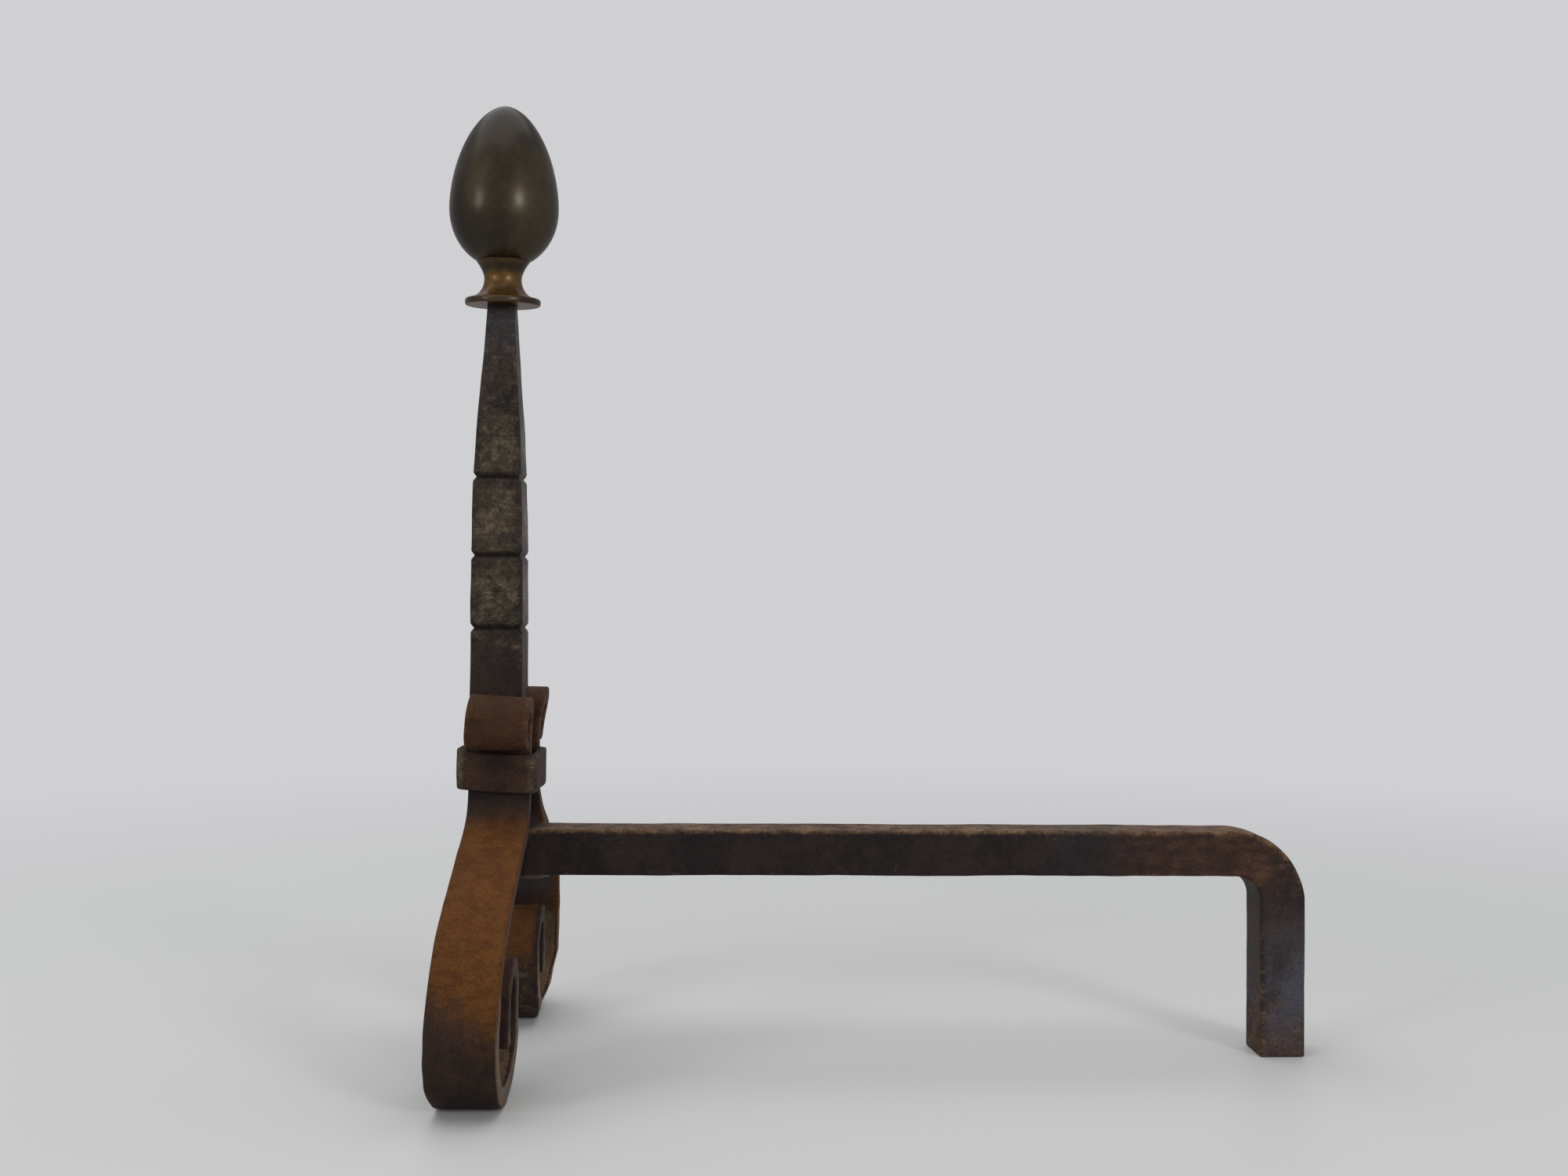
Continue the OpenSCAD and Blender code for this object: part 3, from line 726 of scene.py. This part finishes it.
def make_billet_bar():
    """Square 20 mm bar, level behind the upright, then bent down to the floor.

    Two lines carry it: the top of the bar that turns with radius 32.5 mm and the
    underside that turns with 11.5 mm, as hot iron stretches outside and gathers
    inside. A ring stands between matching points of the two; inside the bend
    it swells 0.55 mm sideways. Towards the front the bar climbs by 0.75 mm, and
    it ends 0.3 mm inside the upright's face.
    """
    rear, top = BAR_HIGH[1:]
    front = HALF_UPRIGHT - 0.3

    def line(height, far, radius):
        # half a row under the count, because the steps are rounded up to it
        run, bend, drop = far - radius - front, radius * math.pi / 2, height - radius
        flat = tangent_path(front, height, 0, [[0, run]], run / (RUN_ROWS - 0.5))
        turn = tangent_path(*flat[-1, :2], 0, [[radius, -90]], bend / (BEND_ROWS - 0.5))
        leg = tangent_path(*turn[-1, :2], -90, [[0, drop]], drop / (LEG_ROWS - 0.5))
        return np.concatenate([flat, turn[1:], leg[1:]])[:, :2]

    outer = line(top, rear, BEND_OUTSIDE)
    inner = line(top - BILLET, rear - BILLET, BEND_INSIDE)
    middle, reach = (outer + inner) / 2, (outer - inner) / 2
    gone = np.concatenate([[0.0], np.cumsum(np.hypot(*np.diff(middle, axis=0).T))])
    rows = end_rows(gone[-1], 1.5, BAR_EDGE)
    rows = np.unique(np.concatenate([rows, gone[RUN_ROWS - 1:RUN_ROWS + BEND_ROWS + 1]]))
    middle, reach = (np.column_stack([np.interp(rows, gone, v[:, k]) for k in (0, 1)])
                     for v in (middle, reach))
    half = np.hypot(reach[:, 0], reach[:, 1])[:, None]
    unit = reach / half
    ring = bar_ring((13, 13), 5)
    near = ring[:, 4]
    ends = end_round((gone[-1] - rows)[:, None], BAR_EDGE)
    bend = bump_at(rows, gone[RUN_ROWS + BEND_ROWS // 2], 13)[:, None]

    def placed(swell):
        a, b = section(ring, half - ends, BILLET / 2 - ends, 1.0 + 0.9 * bend, swell)
        across = b + 0.055 * b * bend * np.clip(-a / (BILLET / 2), -0.6, 1)
        y = middle[:, :1] + unit[:, :1] * a
        z = middle[:, 1:] + unit[:, 1:] * a
        climb = BAR_CLIMB * (1 - np.clip((y - front) / 300, 0, 1))
        z = z + climb * ease((y - front) / 12)
        return a, np.stack([across, y, z], -1)

    _, base = placed(0.0)
    wander = 0.09 * unevenness(base, 22, 41) + 0.05 * unevenness(base, 7, 42)
    a, points = placed(wander + 0.15)
    points[..., 1] = np.minimum(points[..., 1], rear)
    points[..., 2] = np.maximum(points[..., 2], 0)

    # browner on top, in the bend and at both ends, blue down the leg; the top face is
    # also lighter, partly rust and partly painted light from above; darker by the
    # upright and before the bend
    y, z = points[..., 1], points[..., 2]
    on_leg = ease((rows[:, None] - gone[RUN_ROWS + 5]) / 30)
    # the top face: browner with rust, and lighter with painted light from above
    top_face = ease((a - 7.5) / 2.5) * (1 - on_leg)
    back_end = ease((y - 240) / 60) * (1 - 0.4 * on_leg)
    in_bend = bump_at(np.hypot(y - rear + 22.5, z - top + 17), 0, 5)
    rust = (0.85 * top_face + 0.45 * back_end + 0.3 * bump_at(y, 14, 12) + in_bend
            + 0.3 * ease((30 - z) / 20))
    wear_and_light = (0.15 * near ** 10 + 0.55 * top_face + 0.25 * bend * ease((a - 2) / 8)
            + 0.3 * ease((60 - z) / 40))
    blue = (0.95 * on_leg * bump_at(z, 30, 25) * (1 - 0.85 * ease((-7 - a) / 2))
            + 0.12 * bump_at(y, 262, 16) * (1 - on_leg))
    soot_and_shade = np.clip((0.8 * bump_at(y, 8, 8) + 0.35 * bump_at(y, 266, 14)) * (z > 70), 0, 1)
    marks = {"rust": np.clip(rust, 0, 1), "wear_and_light": wear_and_light, "soot_and_shade": soot_and_shade, "blue": blue}
    make_piece("billet_bar_forged", points, marks, SCALED_IRON, "scaled_iron",
               "billet_bar")


def make_weld():
    """Weld pad under the joint: a dome whose depth goes as 1 - (r / radius)^2.4.

    Its ripples are 0.18 sin(2.6 r) mm high, as a bead laid in rings leaves, and
    its rim runs 0.4 mm up into the bars.
    """
    low, high = cad_span("billet_weld")
    radius = (high[0] - low[0]) / 2
    middle_y = (high[1] + low[1]) / 2
    depth = high[2] - low[2]
    share = np.linspace(0.04, 1, 30)[:, None]
    angle = np.linspace(0, 2 * math.pi, 64, endpoint=False)
    r = share * radius
    x, y = r * np.cos(angle), middle_y + r * np.sin(angle)
    flat = np.stack([x, y, 0 * x], -1)
    ripple = (0.18 * np.sin(2.6 * r) + 0.1 * unevenness(flat, 3, 51)) * (1 - share ** 4)
    z = high[2] - (depth - 0.3) * (1 - share ** 2.4) + ripple
    rim = np.stack([x[-1:], y[-1:], 0 * x[-1:] + high[2] + 0.4], -1)
    points = np.concatenate([np.stack([x, y, z], -1), rim])
    marks = {mark: np.full(points.shape[:2], value)
             for mark, value in (("wear_and_light", 0.5), ("rust", 0.15), ("soot_and_shade", 0.1))}
    make_piece("billet_weld_pad", points, marks, SCALED_IRON, "scaled_iron",
               "billet_weld")


# ---------------------------------------------------------------- finial
# the egg is widest this far above the neck; its lower curve would close EGG_LOW
# below that, and is cut off with the radius EGG_FOOT at the neck
EGG_WIDE = 0.338 * (EGG_TOP - EGG_Z)
EGG_LOW = EGG_WIDE * 1.15
EGG_HALF = (cad_span("finial_egg")[1][0] - cad_span("finial_egg")[0][0]) / 2
EGG_FOOT = EGG_HALF * math.sqrt(1 - (EGG_WIDE / EGG_LOW) ** 2.05)
NECK_HALF = 8.3
NECK_UP = 10.6
RIM_HALF = 1.3
COVE_Z = 2.8
# the casting sits askew: the flange hangs low, the rings dip to the right by a
# share of x, and the egg leans back by a share of its height
FLANGE_DROP = 1.2
RING_DIP = 0.06
EGG_LEAN = 0.012
# a painted dark reflection in a band down the front flank, towards -Y and the near side
EGG_DARK_FLANK = math.radians(310)
AROUND = np.linspace(0, 2 * math.pi, 128, endpoint=False)


def turned(name, radius, z, marks, node, seed):
    """A profile (radius, z) turned about the axis: x = r cos t, y = r sin t + lean.

    The lean is 0.012 of the height above the neck. Up to the neck the rings dip
    by 0.06 x, a dip that fades out over the lowest 25 mm of the egg.
    """
    cos, sin = np.cos(AROUND), np.sin(AROUND)
    radius, z = radius[:, None], z[:, None]
    ring = np.stack([radius * cos, radius * sin, z + 0 * AROUND], -1)
    radius = radius - 0.05 + 0.02 * unevenness(ring, 9, seed)
    lean = EGG_LEAN * np.clip(z - EGG_Z, 0, None)
    x = radius * cos
    dip = RING_DIP * x * (1 - ease((z - EGG_Z) / 25))
    points = np.stack([x, radius * sin + lean, z - dip], -1)
    marks = {mark: np.broadcast_to(values, points.shape[:2])
             for mark, values in marks.items()}
    make_piece(name, points, marks, AGED_BRASS, "aged_brass", node)


def make_pedestal():
    """Flange with a round rim, one long cove up to the neck, and a flare to the egg.

    The rim is r = f - 0.9 + 0.9 cos(a)^0.6, z = 1.3 + 1.3 sin a; the cove is
    r = n + c (1 - sin a), z = 2.8 + (m - 2.8) (1 - cos a) up to the neck at
    m = 10.6; the flare is r = n + (foot - n) t^1.7 over the rest. Grooves
    0.1 mm and 0.2 mm deep are turned above the rim and under the egg, and the
    flange hangs 1.2 mm low, less and less up to the neck.
    """
    left, right = cad_span("finial_pedestal")
    flange = (right[0] - left[0]) / 2
    high = EGG_Z - PEDESTAL_Z
    under_r = np.linspace(1, flange - 1.1, 12)
    turn = np.linspace(-math.pi / 2, math.pi / 2, 15)
    rim_r = flange - 0.9 + 0.9 * np.abs(np.cos(turn)) ** 0.6
    rim_z = RIM_HALF + RIM_HALF * np.sin(turn)
    cove = np.linspace(0.05, math.pi / 2, 34)
    cove_r = NECK_HALF + (flange - NECK_HALF) * 0.9 * (1 - np.sin(cove))
    cove_z = COVE_Z + (NECK_UP - COVE_Z) * (1 - np.cos(cove))
    flare = np.linspace(0.04, 1, 26)
    flare_r = NECK_HALF + (EGG_FOOT - NECK_HALF) * flare ** 1.7
    flare_z = NECK_UP + (high - NECK_UP) * flare
    radius = np.concatenate([under_r, rim_r, cove_r, flare_r])
    z = np.concatenate([0 * under_r, rim_z, cove_z, flare_z])
    radius = radius - 0.2 * bump_at(z, high, 0.4) - 0.1 * bump_at(z, 2.75, 0.15)
    sunk = FLANGE_DROP * np.clip(1 - z / NECK_UP, 0, 1)
    # golden in the cove and on the neck, where it is partly a painted highlight, and
    # under the flange a painted reflection of the floor; darker up the flare and in
    # the middle underneath
    golden_and_sheen = (0.62 * bump_at(z, 9, 4.5) + 0.3 * ease((z - 9) / 4)
              + 0.15 * bump_at(z, high - 1, 1) + 0.55 * bump_at(z, 3.6, 2)
              + 0.5 * (radius > 8) * (z < 0.3))
    soot_and_shade = (0.55 * ease((z - 11) / 4) * (1 - 0.6 * bump_at(z, high - 1, 1.2))
            + 0.1 * bump_at(z, high, 0.4) + 0.6 * (radius < 8) * (z < 0.1))
    marks = {"golden_and_sheen": golden_and_sheen[:, None], "soot_and_shade": np.clip(soot_and_shade, 0, 1)[:, None]}
    turned("pedestal_turned", radius, PEDESTAL_Z + z - sunk, marks, "finial_pedestal", 61)


def make_egg():
    """Egg on the neck, widest 23.3 mm up.

    Below, r = R sqrt(1 - t^2.05) with t the depth over 26.8 mm; above,
    r = R (1 - t^1.8)^0.545 with t = sin a the height over the rest.
    """
    down = np.linspace(1, 0, 46)
    low_r = EGG_HALF * np.sqrt(1 - (down * EGG_WIDE / EGG_LOW) ** 2.05)
    low_z = EGG_WIDE * (1 - down)
    up = np.sin(np.linspace(0, math.pi / 2, 90)[1:-1])
    high_r = EGG_HALF * (1 - up ** 1.8) ** 0.545
    high_z = EGG_WIDE + (EGG_TOP - EGG_Z - EGG_WIDE) * up
    radius, z = np.concatenate([low_r, high_r]), np.concatenate([low_z, high_z])
    radius = radius - 0.2 * bump_at(z, 0, 0.4)
    flank = np.abs(AROUND - EGG_DARK_FLANK)
    rows = z[:, None]
    # darker at the joint and towards the top, and a painted dark reflection down the
    # front flank
    soot_and_shade = (0.2 * bump_at(rows, 0, 0.4) + 0.6 * ease((rows - 38) / 26)
            + 0.8 * bump_at(flank, 0, 0.26) * bump_at(rows, 24, 16))
    marks = {"golden_and_sheen": 0.25 * bump_at(rows, 0, 4), "soot_and_shade": soot_and_shade}
    turned("egg_turned", radius, EGG_Z + z, marks, "finial_egg", 62)


make_upright()
make_leg("scroll_leg_right_forged", 1, "scroll_leg_right", 21)
make_leg("scroll_leg_left_forged", -1, "scroll_leg_left", 23)
make_collar()
make_billet_bar()
make_weld()
make_pedestal()
make_egg()

for hidden in ("finial_stud", "bundle_rivet"):
    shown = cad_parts[hidden]
    shown.data.materials.clear()
    shown.data.materials.append(DARK_IRON)


# ---------------------------------------------------------------- floor, light
FLOOR_COLOUR = "#cccdc9"
BACKDROP_COLOUR = "#d0d0d3"
FLOOR_REACH = 9  # metres


def looked_at(tree):
    """1 where the camera or a mirror image looks, 0 where light is gathered."""
    ray = add(tree, "LightPath")
    return add(tree, "Math", {0: ray.outputs["Is Camera Ray"],
                              1: ray.outputs["Is Glossy Ray"]}, operation="MAXIMUM")


def make_floor():
    """Pale card the andiron stands on: a disc r (cos t, sin t) of 9 m radius.

    Close by it takes shade and a faint mirror image; from 0.2 m to 1.3 m out it
    turns into the backdrop's own colour.
    """
    material, tree = new_material("card_pale_satin")
    place = add(tree, "TexCoord").outputs["Object"]
    away = add(tree, "VectorMath", {0: place}, operation="LENGTH").outputs["Value"]
    far = add(tree, "MapRange", {"Value": away, "From Min": 0.2, "From Max": 1.3},
              **SMOOTH)
    share = add(tree, "Math", {0: far, 1: looked_at(tree)}, **TIMES)
    card = add(tree, "BsdfPrincipled", {"Base Color": linear(FLOOR_COLOUR),
                                        "Roughness": 0.5, "Specular IOR Level": 0.2})
    glow = add(tree, "Emission", {"Color": linear(BACKDROP_COLOUR), "Strength": 1.0})
    both = add(tree, "MixShader", {"Fac": share, 1: card, 2: glow})
    add(tree, "OutputMaterial", {"Surface": both})

    rings, spokes = 60, 96
    radius = np.geomspace(0.02, FLOOR_REACH, rings)[:, None]
    angle = np.linspace(0, 2 * math.pi, spokes, endpoint=False)
    x, y = radius * np.cos(angle), radius * np.sin(angle)
    verts = np.concatenate([np.stack([x, y, 0 * x], -1).reshape(-1, 3), [[0, 0, 0]]])
    at = np.arange(rings * spokes).reshape(rings, spokes)
    beside = np.roll(at, -1, axis=1)
    quads = np.stack([at[:-1], at[1:], beside[1:], beside[:-1]], -1).reshape(-1, 4)
    fan = np.stack([at[0], beside[0], np.full(spokes, rings * spokes)], -1)
    mesh = bpy.data.meshes.new("floor_card")
    mesh.from_pydata(verts.tolist(), [], quads.tolist() + fan.tolist())
    mesh.materials.append(material)
    floor = bpy.data.objects.new("floor_card", mesh)
    bpy.context.scene.collection.objects.link(floor)


def add_lamp(name, at, aim, size, power):
    """A soft window or ceiling panel: an area lamp at one point, facing another."""
    lamp = bpy.data.lights.new(name, "AREA")
    lamp.shape = "RECTANGLE"
    lamp.size, lamp.size_y = size
    lamp.energy = power
    holder = bpy.data.objects.new(name, lamp)
    holder.location = at
    holder.rotation_euler = (Vector(aim) - Vector(at)).to_track_quat("-Z", "Y").to_euler()
    bpy.context.scene.collection.objects.link(holder)


def light_room():
    """World that lights softly and shows the backdrop colour behind the object."""
    world = bpy.data.worlds.new("room")
    world.use_nodes = True
    tree = world.node_tree
    tree.nodes.clear()
    ambient = add(tree, "Background", {"Color": linear("#f2f4ff"), "Strength": 0.32})
    behind = add(tree, "Background", {"Color": linear(BACKDROP_COLOUR), "Strength": 1.0})
    both = add(tree, "MixShader", {"Fac": looked_at(tree), 1: ambient, 2: behind})
    add(tree, "OutputWorld", {"Surface": both})
    bpy.context.scene.world = world
    add_lamp("window_left", (1.16, -1.33, 0.66), (0, -0.17, 0.3), (0.45, 0.5), 5.5)
    add_lamp("window_right", (1.27, 0.86, 0.66), (0, -0.17, 0.3), (0.4, 0.5), 8)
    add_lamp("ceiling", (-0.2, -0.4, 2.1), (-0.1, -0.2, 0), (2.6, 2.6), 34)


# camera fitted to the straight edges of the photograph, 2000 x 1500 pixels
PHOTO_WIDE = 2000
SENSOR_WIDE = 36
FOCAL_PIXELS = 1988.8
CAMERA_AT = Vector((0.7007, AXIS_Y + 0.098, 0.2039))
YAW, PITCH, ROLL = 0.0409, 0.0070, -0.0072


def place_camera():
    """Camera level with the punched dot, looking at the andiron's right-hand side."""
    ahead = Vector((-math.cos(YAW) * math.cos(PITCH), math.sin(YAW) * math.cos(PITCH),
                    math.sin(PITCH)))
    flat_right = Vector((math.sin(YAW), math.cos(YAW), 0))
    flat_up = flat_right.cross(ahead)
    right = math.cos(ROLL) * flat_right - math.sin(ROLL) * flat_up
    up = math.sin(ROLL) * flat_right + math.cos(ROLL) * flat_up
    camera = bpy.data.cameras.new("camera")
    camera.sensor_fit = "HORIZONTAL"
    camera.sensor_width = SENSOR_WIDE
    camera.lens = SENSOR_WIDE * FOCAL_PIXELS / PHOTO_WIDE
    camera.clip_start = 0.01
    holder = bpy.data.objects.new("camera", camera)
    holder.matrix_world = Matrix.Translation(CAMERA_AT) @ Matrix(
        (right, up, -ahead)).transposed().to_4x4()
    bpy.context.scene.collection.objects.link(holder)
    bpy.context.scene.camera = holder


make_floor()
light_room()
place_camera()
bpy.context.scene.view_settings.view_transform = "Standard"
